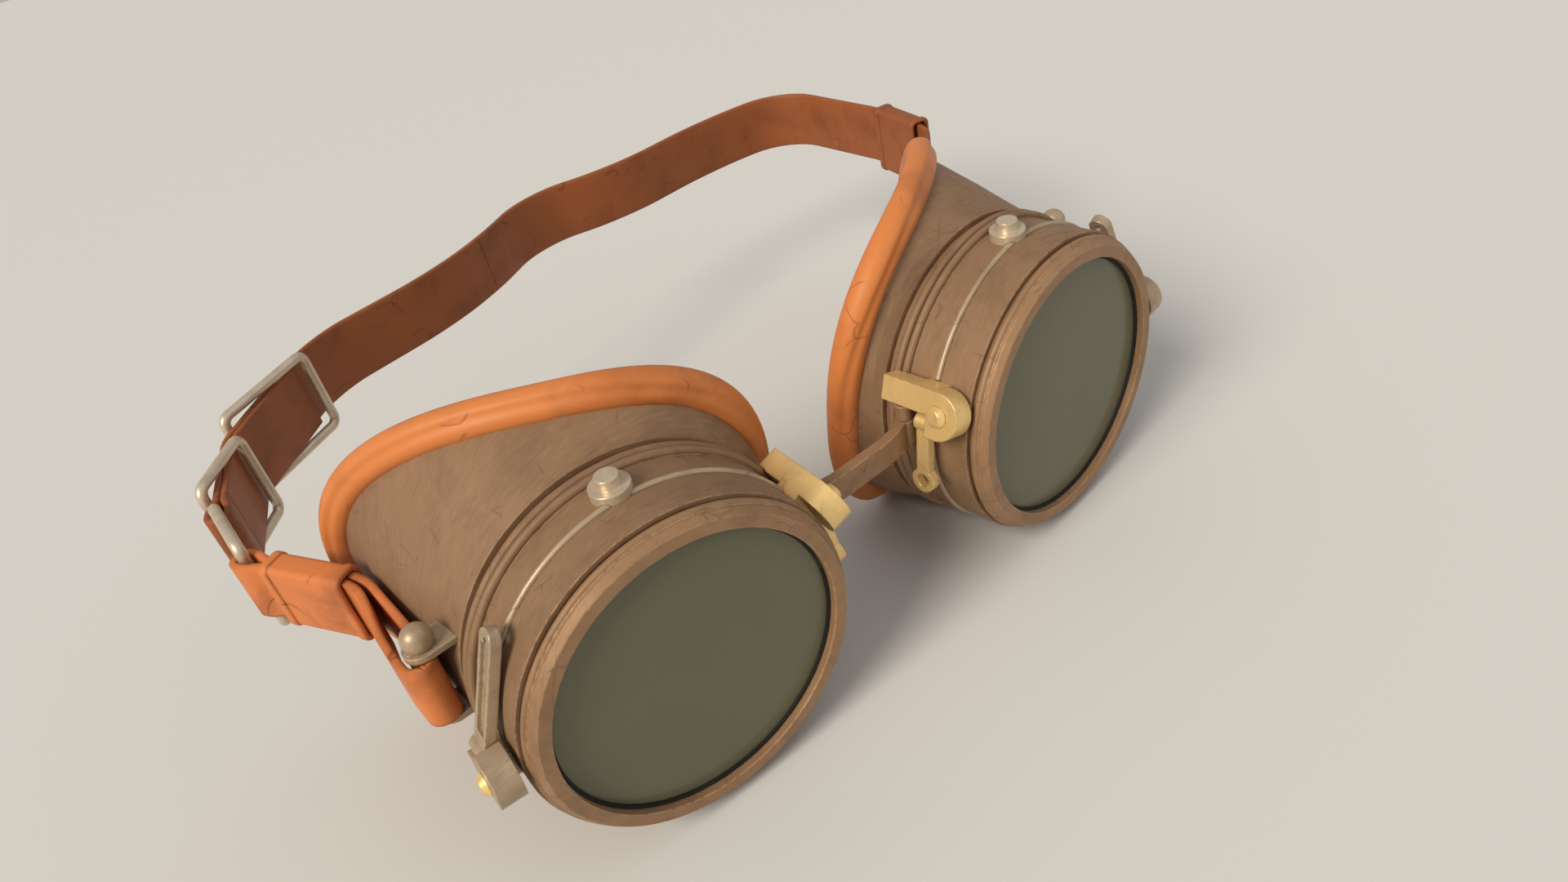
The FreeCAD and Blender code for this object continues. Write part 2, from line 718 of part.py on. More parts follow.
def make_strap_ends():
    """Two tabs on the cup's side, the pin between them and the ball on the upper one."""
    rise, inside, thick = size("loop_rise"), size("tab_inside"), size("tab_thickness")
    top = rise + inside + thick
    bottom = rise - inside - thick
    cup = nodes["right_face_cup"].Shape.copy()
    cup.transformShape(PITCH.inverse().toMatrix())
    pin_at = V(size("pin_side"), size("pin_depth"), 0)
    pin = upright_cylinder(size("strap_pin_radius"), bottom, top, pin_at)
    upper = tab_on_cup(rise + inside, cup).cut(pin)
    both_sides(solid_of("strap_bracket", upper), "strap_bracket", PITCH)
    both_sides(solid_of("strap_tab", tab_on_cup(bottom, cup).cut(pin)), "strap_tab", PITCH)
    both_sides(solid_of("strap_pin", pin), "strap_pin", PITCH)
    ball_at = V(size("pin_side") - size("ball_inset"), size("pin_depth"), top)
    ball = Part.makeSphere(size("ball_radius"), ball_at + V(0, 0, size("ball_height")))
    ball = ball.common(upright_cylinder(size("ball_radius"), top, top + 2 * size("ball_radius"), ball_at))
    both_sides(solid_of("bracket_ball", ball), "bracket_ball", PITCH)


def leather(piece, route, radii, closed=False):
    """A strip of leather along a route, as wide and as high up as the strap or the loop."""
    width = size(piece + "_width")
    return band(route, size("strap_thickness"), size(piece + "_rise") - width / 2, width, radii, closed)


def fold_gap():
    """Half the distance between the two layers of leather folded round a wire."""
    return size("hardware_wire") + size("fold_clearance") + size("strap_thickness") / 2


def loop_side(sign, out, tail):
    """One layer of a loop, from its tail forwards: the pinch, then beside the strap pin to its front."""
    wide = math.copysign(size("loop_half_gap"), out)
    x, y = size("pin_side") + wide, size("pin_depth")
    lobe = [V(sign * x, y + size("lobe_length"), 0),
            V(sign * x, y - size("lobe_lead") - size("loop_half_gap"), 0)]
    return [*tail, side_point(sign, 0, out), *lobe]


def make_loops():
    """Left: a closed loop folded round the ring. Right: both ends riveted to the strap."""
    round_lobe, bend = size("loop_half_gap"), size("strap_bend")
    fold, pinch = fold_gap(), size("pinch_half_gap")
    length, tight = size("loop_length"), FOLD_ROUND_SHARE * fold
    sides = [loop_side(-1, sign * pinch, [side_point(-1, length + fold, sign * fold),
                                          side_point(-1, length - fold, sign * fold),
                                          side_point(-1, length - size("fold_reach"), sign * pinch)])
             for sign in (1, -1)]
    route = sides[0] + sides[1][::-1]
    radii = {0: tight, 3: bend, 5: round_lobe, 6: round_lobe, 8: bend, 11: tight}
    keep(solid_of("left_strap_loop", leather("loop", route, radii, closed=True)),
         "left_strap_loop", PITCH)
    layer = size("strap_thickness") + size("layer_gap")
    sides = [loop_side(1, sign * pinch, [side_point(1, size("sleeve_length"), sign * layer),
                                         side_point(1, size("strap_inset"), sign * layer)])
             for sign in (1, -1)]
    right = leather("loop", sides[0] + sides[1][::-1], {2: bend, 4: round_lobe, 5: round_lobe, 7: bend})
    keep(solid_of("right_strap_loop", right.cut(rivet_shank())), "right_strap_loop", PITCH)


def rivet_shank(grow=0.0):
    """The strap rivet's shank, square through the layers at the right end of the strap."""
    reach = 1.5 * size("strap_thickness") + size("layer_gap") + size("rivet_rise")
    start, end = (side_point(1, size("rivet_place"), sign * reach) for sign in (-1, 1))
    shank = Part.makeCylinder(size("rivet_radius") + grow, 2 * reach, start, end - start)
    shank.translate(V(0, 0, size("strap_rise")))
    return shank


def make_rivet():
    rivet = rivet_shank()
    foot = 1.5 * size("strap_thickness") + size("layer_gap")
    rise, radius = size("rivet_rise"), size("rivet_head")
    for sign in (-1, 1):
        base = side_point(1, size("rivet_place"), sign * foot)
        out = side_point(1, size("rivet_place"), sign * (foot + rise)) - base
        head = Part.makeCone(radius, radius * HEAD_DOME_SHARE, rise, base, out)
        rivet = rivet.fuse(head.translated(V(0, 0, size("strap_rise"))))
    keep(solid_of("strap_rivet", rivet.removeSplitter()), "strap_rivet", PITCH)


def make_keepers():
    """A leather sleeve with a raised border at each end: on the left loop, and on the strap's right run."""
    deep = size("pinch_half_gap") + size("strap_thickness") / 2 + size("keeper_play")
    wall, border, rise = size("keeper_wall"), size("keeper_border"), size("keeper_raise")
    length, overrun = size("keeper_length"), size("cut_overrun")
    far, near = strap_back()[-2:]
    places = (("left", "loop", side_point(-1, size("keeper_start")), size("strap_splay")),
              ("right", "strap", near + (far - near) * KEEPER_RUN_SHARE,
               math.degrees(math.atan2(near.x - far.x, far.y - near.y))))
    for side, strip, at, heading in places:
        tall = size(strip + "_width") / 2 + size("keeper_play")

        def sleeve(start, span, grow):
            x, z = deep + grow, tall + grow
            return Part.makeBox(2 * x, span, 2 * z, V(-x, start, size(strip + "_rise") - z))

        keeper = sleeve(0, length, wall)
        for start in (0, length - border):
            keeper = keeper.fuse(sleeve(start, border, wall + rise))
        keeper = keeper.cut(sleeve(-overrun, length + 2 * overrun, 0)).removeSplitter()
        place = FreeCAD.Placement(at, FreeCAD.Rotation(Z_AXIS, heading))
        name = side + "_keeper"
        keep(solid_of(name, keeper), name, PITCH.multiply(place))


# Head strap and its hardware


def strap_back():
    """Corners of the strap round the back of the head."""
    spread, depth = size("strap_spread"), size("strap_depth")
    return [V(spread * x, depth * y, 0) for x, y in STRAP_ROUTE_SHARES]


def ring_bars():
    """The ring's front bar in the left loop's fold and its rear bar in the strap's."""
    toe = math.radians(size("ring_toe"))
    front = side_point(-1, size("loop_length"))
    return front, front + V(math.sin(toe), math.cos(toe), 0) * size("ring_length")


def double_runs():
    """The two runs where the strap lies double: start, end, direction and inner side of each middle line."""
    layer = size("strap_thickness") + 2 * size("layer_gap")
    corner, after = strap_back()[:2]
    runs = []
    for start, end in ((ring_bars()[1], corner), (corner, after)):
        along = (end - start).normalize()
        runs.append((start, end, along, along.cross(Z_AXIS)))
    return runs, layer


def make_strap():
    """From its tail through buckle and slider, round the ring, back and round to the right loop."""
    back = strap_back()
    (first, second), layer = double_runs()
    bar, corner, along, inwards = first
    bisector = (inwards + second[3]).normalize()
    fold, reach = fold_gap(), size("fold_reach")
    half = layer / 2
    tail = second[0] + (second[1] - second[0]) * TAIL_RUN_SHARE + second[3] * half
    end = back[1] - second[3] * half
    route = [tail, corner + bisector * half, bar + along * reach + inwards * half,
             bar + (along + inwards) * fold, bar + (inwards - along) * fold,
             bar - (inwards + along) * fold, bar + (along - inwards) * fold,
             bar + along * reach - inwards * half, corner - bisector * half, end, *back[2:],
             side_point(1, size("strap_entry")), side_point(1, size("strap_inset"))]
    tight = FOLD_ROUND_SHARE * fold
    bend = size("strap_bend")
    radii = {1: bend - half, 4: tight, 5: tight, 8: bend + half, 9: size("strap_curve"),
             len(route) - 2: bend, len(route) - 3: bend, len(route) - 4: size("strap_curve")}
    strap = leather("strap", route, radii).cut(rivet_shank(size("layer_gap")))
    keep(solid_of("head_strap", strap), "head_strap", PITCH)


def wire_frame(length, height):
    """A rectangular wire frame with rounded corners, in the plane of X and Z, round its middle."""
    radius = size("hardware_corner")
    arcs = []
    for across, up, start in ((1, 1, 0), (-1, 1, 90), (-1, -1, 180), (1, -1, 270)):
        centre = V(across * (length / 2 - radius), 0, up * (height / 2 - radius))
        rim = [centre + turn(Y_AXIS, -start - step).multVec(X_AXIS) * radius for step in (0, 45, 90)]
        arcs.append(Part.Arc(*rim).toShape())
    edges = []
    for arc, follow in zip(arcs, arcs[1:] + arcs[:1]):
        edges += [arc, *straight(arc.Vertexes[-1].Point, follow.Vertexes[0].Point)]
    section = Part.makeCircle(size("hardware_wire"), edges[0].Vertexes[0].Point, Z_AXIS)
    return Part.Wire(edges).makePipeShell([Part.Wire(section)], True, True)


def place_frame(name, middle, heading, length):
    height = size("strap_width") + 2 * (size("hardware_play") + size("hardware_wire"))
    at = FreeCAD.Placement(middle + V(0, 0, size("strap_rise")), FreeCAD.Rotation(Z_AXIS, heading))
    keep(solid_of(name, wire_frame(length, height)), name, PITCH.multiply(at))


def make_hardware():
    """The ring, and slider and buckle set aslant so that one bar lies on each side of the strap."""
    front, rear = ring_bars()
    place_frame("strap_ring", (front + rear) * 0.5, 90 - size("ring_toe"), size("ring_length"))
    runs, layer = double_runs()
    reach = layer / 2 + size("strap_thickness") / 2 + size("hardware_wire") + size("hardware_play")
    for name, run, share in (("slider", runs[0], SLIDER_RUN_SHARE), ("buckle", runs[1], BUCKLE_RUN_SHARE)):
        start, end, along, inwards = run
        length = size(name + "_length")
        heading = math.degrees(math.atan2(along.y, along.x) - math.asin(2 * reach / length))
        place_frame("strap_" + name, start + (end - start) * share, heading, length)


def check(document):
    """Stop if an object failed or a sub-part has no sound solid."""
    document.recompute()
    for item in document.Objects:
        if "Invalid" in item.State or "Error" in item.State:
            raise RuntimeError(f"{item.Label}: {item.State}")
    for name, piece in nodes.items():
        if piece.Shape.isNull() or not piece.Shape.isValid() or not piece.Shape.Solids:
            raise RuntimeError(f"{name} has no sound solid")


def main():
    make_bezels()
    make_glass()
    make_barrels()
    make_face_cups()
    make_wires()
    make_studs()
    make_latch("nose", "nose_eye_radius", False)
    make_latch("temple", "temple_lever_width / 2", True)
    doc.recompute()
    make_bridge()
    make_bridge_pins()
    make_strap_ends()
    make_loops()
    make_rivet()
    make_keepers()
    make_strap()
    make_hardware()
    check(doc)
    os.makedirs("parts", exist_ok=True)
    for name, piece in nodes.items():
        piece.Shape.exportStep(f"parts/{name}.step")


main()
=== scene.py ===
"""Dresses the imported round-lens goggles: worn metal, olive glass, rolled pads and leather straps."""

import math

import bmesh
import bpy
from bpy.props import FloatProperty, FloatVectorProperty, PointerProperty
from mathutils import Matrix, Vector


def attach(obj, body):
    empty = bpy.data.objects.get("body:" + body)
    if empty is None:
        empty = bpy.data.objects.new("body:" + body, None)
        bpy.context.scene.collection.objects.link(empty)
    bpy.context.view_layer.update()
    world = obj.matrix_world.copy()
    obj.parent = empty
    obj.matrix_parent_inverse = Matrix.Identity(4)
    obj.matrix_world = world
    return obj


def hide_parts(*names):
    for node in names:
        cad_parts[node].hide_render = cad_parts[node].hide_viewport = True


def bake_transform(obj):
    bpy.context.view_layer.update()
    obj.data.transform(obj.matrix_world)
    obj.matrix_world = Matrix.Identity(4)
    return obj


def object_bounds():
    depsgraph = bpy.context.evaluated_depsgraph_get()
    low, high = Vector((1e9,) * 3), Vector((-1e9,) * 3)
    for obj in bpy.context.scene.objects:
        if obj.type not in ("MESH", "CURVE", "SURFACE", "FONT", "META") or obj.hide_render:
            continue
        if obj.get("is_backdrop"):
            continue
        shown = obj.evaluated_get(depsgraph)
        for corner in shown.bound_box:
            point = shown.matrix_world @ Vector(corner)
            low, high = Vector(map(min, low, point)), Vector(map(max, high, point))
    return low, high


bl_info = {
    "name": "Round-lens goggles",
    "version": (1, 0, 0),
    "blender": (4, 5, 0),
    "location": "View3D > Sidebar > Goggles",
    "description": "Dresses the packed goggles in leather, worn metal and olive glass",
    "category": "Object",
}

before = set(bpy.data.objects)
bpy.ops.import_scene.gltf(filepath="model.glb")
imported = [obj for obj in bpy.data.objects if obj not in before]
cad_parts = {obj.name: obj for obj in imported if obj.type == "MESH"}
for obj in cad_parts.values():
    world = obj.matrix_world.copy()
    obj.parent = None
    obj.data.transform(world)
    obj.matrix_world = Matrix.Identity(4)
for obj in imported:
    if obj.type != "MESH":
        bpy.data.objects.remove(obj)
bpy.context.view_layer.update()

MM = 0.001
SIDES = (("left", -1), ("right", 1))

# Stance of the goggles: the whole pair is pitched, and each cup turns out a little
REST_PITCH = math.radians(5.9)
PITCH = Matrix.Rotation(REST_PITCH, 4, "X")
LENS_SPACING = 82.4 * MM
CUP_TOE = math.radians(4.55)

# Rim of the cup, where the rolled pad runs
NECK_RADIUS = 27.4 * MM
CUP_FRONT = 20.0 * MM
RIM_CENTER = 38.7 * MM
RIM_RISE = 1.8 * MM
RIM_HALF_WIDTH = 28.6 * MM
RIM_HALF_HEIGHT = 30.85 * MM
RIM_DEPTH = 37.15 * MM
RIM_SWEEP = 19.4 * MM
RIM_CURVE = 7.95 * MM
RIM_LEAN = 6.35 * MM
RIM_SQUARE_SHARE = 0.8

# Strap ends at the temple
PIN_SIDE = 70.2 * MM
PIN_DEPTH = 25.2 * MM
STRAP_RISE = 4.3 * MM
LOOP_RISE = 5.3 * MM
STRAP_SPLAY = math.radians(27.0)
LOOP_HALF_GAP = 2.0 * MM
LOBE_LEAD = 0.7 * MM
LOBE_LENGTH = 7.8 * MM
PINCH_SIDE = 69.0 * MM
PINCH_DEPTH = 47.5 * MM
PINCH_HALF_GAP = 0.8 * MM
LOOP_LENGTH = 24.8 * MM
SLEEVE_LENGTH = 20.0 * MM
LAYER_GAP = 0.1 * MM
STRAP_ENTRY = 22.0 * MM
STRAP_INSET = 5.0 * MM
KEEPER_START = 2.5 * MM
KEEPER_PLAY = 0.2 * MM
KEEPER_RUN_SHARE = 0.13

# Head strap round the back, as shares of its spread and its depth
STRAP_SPREAD = 100.0 * MM
STRAP_DEPTH = 154.0 * MM
STRAP_ROUTE_SHARES = (
    (-0.709, 0.704),
    (-0.454, 0.860),
    (-0.155, 0.886),
    (0.009, 0.923),
    (0.202, 0.998),
    (0.433, 0.948),
    (0.742, 0.960),
    (1.000, 0.929),
    (1.010, 0.690),
    (0.968, 0.549),
)
STRAP_BEND = 10.0 * MM
STRAP_CURVE = 25.0 * MM
TAIL_RUN_SHARE = 0.70
CORNER_RUN_SHARE = 0.45
SPLIT_CORNER = 3
BLEND_PAST_SPLIT = 30.0 * MM

# Ring in the left loop's fold
HARDWARE_WIRE = 1.0 * MM
FOLD_CLEARANCE = 0.1 * MM
FOLD_REACH = 3.7 * MM
FOLD_ROUND_SHARE = 0.85
RING_TOE = math.radians(2.0)
RING_LENGTH = 16.0 * MM

# From the ring's rear bar to where the strap stops following it, and to its seam under the slider
RING_FOLLOW = 4.6 * MM
STRAP_SEAM = 5.5 * MM

# Points nearer to each other than this are one point
MEETING = 0.001 * MM

# How finely the leather is modelled
BEND_SEGMENTS = 8
EDGE_SEGMENTS = 3
WIDTH_CUTS = 3
LONGEST_STEP_SHARE = 3
SHARP_EDGE = math.radians(50)
SMOOTH_EDGE = math.radians(40)


class GogglesSizes(bpy.types.PropertyGroup):
    """Sizes of the leather pieces."""

    pad_radius: FloatProperty(
        name="Pad radius", description="Half the thickness of the rolled pads",
        default=2.8 * MM, unit="LENGTH")
    pad_crease: FloatProperty(
        name="Pad crease", description="Depth of the sewn crease along the pads",
        default=0.5 * MM, unit="LENGTH")
    pad_grip: FloatProperty(
        name="Pad grip", description="How far the roll presses over the cup's edge",
        default=0.3 * MM, unit="LENGTH")
    strap_width: FloatProperty(
        name="Strap width", description="Height of the head strap's strip",
        default=14.5 * MM, unit="LENGTH")
    loop_width: FloatProperty(
        name="Loop width", description="Height of the loops at the temples",
        default=11.0 * MM, unit="LENGTH")
    strap_thickness: FloatProperty(
        name="Leather thickness", description="Thickness of straps and loops",
        default=1.2 * MM, unit="LENGTH")
    keeper_length: FloatProperty(
        name="Keeper length", description="Length of the sleeves on the straps",
        default=16.5 * MM, unit="LENGTH")
    keeper_wall: FloatProperty(
        name="Keeper wall", description="Thickness of the sleeves' leather",
        default=0.7 * MM, unit="LENGTH")
    keeper_border: FloatProperty(
        name="Keeper border", description="Width of the raised border at each end of a sleeve",
        default=1.6 * MM, unit="LENGTH")
    keeper_raise: FloatProperty(
        name="Keeper raise", description="How far the border stands out",
        default=0.35 * MM, unit="LENGTH")
    edge_round: FloatProperty(
        name="Edge round", description="Rounding of the leather's cut edges",
        default=0.35 * MM, unit="LENGTH")


def colour(label, about, *default):
    """A colour that the user can change."""
    return FloatVectorProperty(name=label, description=about, default=default, size=3, min=0, max=1,
                               subtype="COLOR")


class GogglesColours(bpy.types.PropertyGroup):
    """Colours of the finishes."""

    bronze: colour("Bronze", "Matt aged bronze of the cups", 0.245, 0.142, 0.078)
    bronze_dark: colour("Bronze shade", "Tarnish on the bronze", 0.105, 0.055, 0.032)
    copper: colour("Copper", "Satin tan of the bezels and the bridge", 0.295, 0.167, 0.086)
    worn_edge: colour("Worn edge", "Metal worn bright on the ridges", 0.55, 0.35, 0.19)
    brass: colour("Brass", "Yellow brass of the nose blocks", 0.86, 0.61, 0.26)
    brass_dark: colour("Brass shade", "Tarnish on the brass", 0.40, 0.26, 0.11)
    silver: colour("Silver", "Pale worn silver of studs and strap hardware", 0.66, 0.55, 0.41)
    silver_dark: colour("Silver shade", "Tarnish on the silver", 0.30, 0.21, 0.14)
    nickel: colour("Nickel", "Tan worn nickel of wires and temple latches", 0.43, 0.315, 0.205)
    lens: colour("Lens", "Olive glass", 0.118, 0.114, 0.068)
    rubber: colour("Rubber", "Black seals", 0.012, 0.011, 0.010)
    pad: colour("Pad leather", "Tan rolled leather", 0.60, 0.195, 0.052)
    pad_dark: colour("Pad shade", "Creases of the tan leather", 0.29, 0.080, 0.022)
    # The strap and the loops are one leather in two copies: the strap's colour is darkened as painted
    # shade, and the colour of the loops and the left keeper is brightened as painted light.
    strap: colour("Strap leather", "Brown-orange strap, darkened as painted shade", 0.28, 0.083, 0.025)
    strap_dark: colour("Strap shade", "Burnished edges and marks of the strap", 0.13, 0.036, 0.013)
    loop: colour("Loop leather", "Orange of the loops and the left keeper, brightened as painted light", 0.60, 0.182, 0.052)
    floor: colour("Floor", "Pale studio floor", 0.62, 0.61, 0.59)


# Shader nodes


def node(tree, kind, inputs=None, **settings):
    """A shader node with its settings, its plain values and its links."""
    made = tree.nodes.new("ShaderNode" + kind)
    for key, value in settings.items():
        setattr(made, key, value)
    for key, value in (inputs or {}).items():
        if isinstance(value, bpy.types.NodeSocket):
            tree.links.new(value, made.inputs[key])
        else:
            made.inputs[key].default_value = value
    return made


def maths(tree, operation, *values):
    made = node(tree, "Math", dict(enumerate(values)), operation=operation)
    return made.outputs[0]


def ramp(tree, value, low, high):
    """A value mapped smoothly from low..high to 0..1."""
    made = node(tree, "MapRange", {"Value": value, "From Min": low, "From Max": high},
                interpolation_type="SMOOTHSTEP")
    return made.outputs["Result"]


def mixed(tree, share, first, second):
    """A colour between two, by a share."""
    made = node(tree, "Mix", {0: share, 6: first, 7: second}, data_type="RGBA")
    return made.outputs[2]


def opaque(rgb):
    return (*rgb, 1.0)


def new_group(name, inputs, outputs):
    """An empty shader node group with named float sockets, or vectors where the name says Normal."""
    tree = bpy.data.node_groups.new(name, "ShaderNodeTree")
    for label, default in inputs:
        socket = tree.interface.new_socket(label, in_out="INPUT", socket_type="NodeSocketFloat")
        socket.default_value = default
    for label in outputs:
        kind = "NodeSocketVector" if label == "Normal" else "NodeSocketFloat"
        tree.interface.new_socket(label, in_out="OUTPUT", socket_type=kind)
    return tree, tree.nodes.new("NodeGroupInput").outputs, tree.nodes.new("NodeGroupOutput").inputs


def noise(tree, place, scale, detail, **more):
    """Cloudy noise: its outputs."""
    values = {"Vector": place, "Scale": scale, "Detail": detail}
    values.update({label.capitalize(): value for label, value in more.items()})
    return node(tree, "TexNoise", values).outputs


def fine_lines(tree, place, bend, scale, width, patch_scale, patch):
    """Thin wandering lines, kept in a few patches only."""
    bend_scale, bend_reach = bend
    bent = noise(tree, place, bend_scale, 2.0)["Color"]
    shift = node(tree, "VectorMath", {0: bent, "Scale": bend_reach}, operation="SCALE").outputs[0]
    moved = node(tree, "VectorMath", {0: place, 1: shift}, operation="ADD").outputs[0]
    cells = node(tree, "TexVoronoi", {"Vector": moved, "Scale": scale},
                 feature="DISTANCE_TO_EDGE").outputs["Distance"]
    thin = maths(tree, "SUBTRACT", 1.0, ramp(tree, cells, *width))
    sparse = noise(tree, place, patch_scale, 1.0)["Fac"]
    return maths(tree, "MULTIPLY", thin, ramp(tree, sparse, *patch))


def edge_wear_group():
    """Rounded edges and a broken mask along them."""
    breaks = (0.36, 0.62)
    tree, given, out = new_group(
        "edge wear", (("Radius", 0.4 * MM), ("Contrast", 5.0), ("Breakup", 900.0)), ("Wear", "Normal"))
    rounded = node(tree, "Bevel", {"Radius": given["Radius"]}, samples=6).outputs["Normal"]
    flat = node(tree, "NewGeometry").outputs["Normal"]
    facing = node(tree, "VectorMath", {0: rounded, 1: flat}, operation="DOT_PRODUCT").outputs["Value"]
    edge = maths(tree, "MULTIPLY", maths(tree, "SUBTRACT", 1.0, facing), given["Contrast"])
    place = node(tree, "TexCoord").outputs["Object"]
    broken = noise(tree, place, given["Breakup"], 4.0, roughness=0.65)["Fac"]
    tree.links.new(maths(tree, "MULTIPLY", edge, ramp(tree, broken, *breaks)), out["Wear"])
    tree.links.new(rounded, out["Normal"])
    return tree


def patina_group():
    """Cloudy tarnish, fine brushing and thin scratches on metal."""
    brush_stretch = (0.35, 4.0, 0.35)
    tree, given, out = new_group("patina", (("Cloud scale", 120.0), ("Scratch scale", 160.0)),
                                 ("Cloud", "Brush", "Scratch"))
    place = node(tree, "TexCoord").outputs["Object"]
    cloud = noise(tree, place, given["Cloud scale"], 6.0, roughness=0.6, distortion=0.6)["Fac"]
    stretched = node(tree, "Mapping", {"Vector": place, "Scale": brush_stretch}).outputs[0]
    brush = noise(tree, stretched, 900.0, 3.0)["Fac"]
    scratch = fine_lines(tree, place, bend=(45.0, 0.012), scale=given["Scratch scale"], width=(0.004, 0.03),
                         patch_scale=210.0, patch=(0.55, 0.66))
    tree.links.new(cloud, out["Cloud"])
    tree.links.new(brush, out["Brush"])
    tree.links.new(scratch, out["Scratch"])
    return tree


def hide_group():
    """Pebbled grain, colour drift and faint marks of leather."""
    fine_share = 0.5
    tree, given, out = new_group("hide", (("Grain scale", 1500.0), ("Drift scale", 90.0)),
                                 ("Grain", "Drift", "Marks"))
    place = node(tree, "TexCoord").outputs["Object"]
    pebble = node(tree, "TexVoronoi", {"Vector": place, "Scale": given["Grain scale"], "Randomness": 1.0},
                  feature="SMOOTH_F1").outputs["Distance"]
    fine = noise(tree, place, 4200.0, 2.0)["Fac"]
    drift = noise(tree, place, given["Drift scale"], 5.0, roughness=0.55, distortion=0.4)["Fac"]
    marks = fine_lines(tree, place, bend=(60.0, 0.02), scale=85.0, width=(0.003, 0.02),
                       patch_scale=130.0, patch=(0.56, 0.66))
    tree.links.new(maths(tree, "ADD", pebble, maths(tree, "MULTIPLY", fine, fine_share)), out["Grain"])
    tree.links.new(drift, out["Drift"])
    tree.links.new(marks, out["Marks"])
    return tree


def placed(tree, group, **values):
    """A copy of a node group in a material, with its own values."""
    made = tree.nodes.new("ShaderNodeGroup")
    made.node_tree = bpy.data.node_groups[group]
    for label, value in values.items():
        made.inputs[label.replace("_", " ")].default_value = value
    return made.outputs


def new_material(name, specular=0.3):
    """An empty material: its tree and its Principled shader."""
    made = bpy.data.materials.new(name)
    made.use_nodes = True
    tree = made.node_tree
    tree.nodes.clear()
    shader = node(tree, "BsdfPrincipled")
    shader.inputs["Specular IOR Level"].default_value = specular
    node(tree, "OutputMaterial", {"Surface": shader.outputs[0]})
    return made, tree, shader


def shaded(tree, body, mask, share, tint):
    """A colour laid over another where a mask says, by a share."""
    return mixed(tree, maths(tree, "MULTIPLY", mask, share), body, opaque(tint))


def scaled(tree, base, mask, share):
    """A base value raised by a share of a mask."""
    return maths(tree, "ADD", base, maths(tree, "MULTIPLY", mask, share))


def bumped(tree, shader, height, normal, strength, distance):
    """Raise the surface by a height, on top of its rounded edges."""
    bump = node(tree, "Bump", {"Height": height, "Normal": normal, "Strength": strength,
                               "Distance": distance})
    tree.links.new(bump.outputs[0], shader.inputs["Normal"])


def worn_metal(name, base, shade, bright, metallic, roughness, cloud=120.0, edge=0.35 * MM, wear=6.0):
    """Tarnished metal, worn bright along its edges, with fine scratches."""
    tarnish_limits, tarnish_share = (0.42, 0.72), 0.3
    brush_limits, brush_share = (0.35, 0.75), 0.12
    scratch_share, wear_share = 0.4, 0.85
    cloud_roughness, wear_polish = 0.16, 0.12
    brush_height = 0.5
    made, tree, shader = new_material(name)
    worn = placed(tree, "edge wear", Radius=edge, Contrast=wear)
    patina = placed(tree, "patina", Cloud_scale=cloud)
    clear = node(tree, "Clamp", {"Value": worn["Wear"]}).outputs[0]
    body = shaded(tree, opaque(base), ramp(tree, patina["Cloud"], *tarnish_limits), tarnish_share, shade)
    body = shaded(tree, body, ramp(tree, patina["Brush"], *brush_limits), brush_share, bright)
    body = shaded(tree, body, patina["Scratch"], scratch_share, shade)
    body = shaded(tree, body, clear, wear_share, bright)
    tree.links.new(body, shader.inputs["Base Color"])
    rough = scaled(tree, roughness, patina["Cloud"], cloud_roughness)
    rough = maths(tree, "SUBTRACT", rough, maths(tree, "MULTIPLY", clear, wear_polish))
    tree.links.new(rough, shader.inputs["Roughness"])
    shader.inputs["Metallic"].default_value = metallic
    brushed = maths(tree, "MULTIPLY", patina["Brush"], brush_height)
    height = maths(tree, "SUBTRACT", brushed, patina["Scratch"])
    bumped(tree, shader, height, worn["Normal"], strength=0.25, distance=0.05 * MM)
    return made


def hide_leather(name, base, shade, roughness, grain, edge, burnish):
    """Grained leather with drifting colour, faint marks and burnished edges."""
    drift_limits, drift_share = (0.45, 0.75), 0.5
    burnish_share, marks_share = 0.7, 0.6
    drift_roughness, marks_depth = 0.15, 2.0
    made, tree, shader = new_material(name)
    worn = placed(tree, "edge wear", Radius=edge, Contrast=burnish, Breakup=260.0)
    hide = placed(tree, "hide", Grain_scale=grain)
    dark = node(tree, "Clamp", {"Value": worn["Wear"]}).outputs[0]
    body = shaded(tree, opaque(base), ramp(tree, hide["Drift"], *drift_limits), drift_share, shade)
    body = shaded(tree, body, dark, burnish_share, shade)
    body = shaded(tree, body, hide["Marks"], marks_share, shade)
    tree.links.new(body, shader.inputs["Base Color"])
    tree.links.new(scaled(tree, roughness, hide["Drift"], drift_roughness), shader.inputs["Roughness"])
    height = maths(tree, "SUBTRACT", hide["Grain"], maths(tree, "MULTIPLY", hide["Marks"], marks_depth))
    bumped(tree, shader, height, worn["Normal"], strength=0.18, distance=0.12 * MM)
    return made


def olive_glass(name, tint):
    """Flat tinted glass with a faint haze."""
    haze_limits, haze_share, haze_gain = (0.35, 0.8), 0.18, 1.5
    roughness, cloud_roughness = 0.14, 0.1
    made, tree, shader = new_material(name)
    patina = placed(tree, "patina", Cloud_scale=40.0)
    body = shaded(tree, opaque(tint), ramp(tree, patina["Cloud"], *haze_limits), haze_share,
                  [haze_gain * part for part in tint])
    tree.links.new(body, shader.inputs["Base Color"])
    tree.links.new(scaled(tree, roughness, patina["Cloud"], cloud_roughness), shader.inputs["Roughness"])
    return made


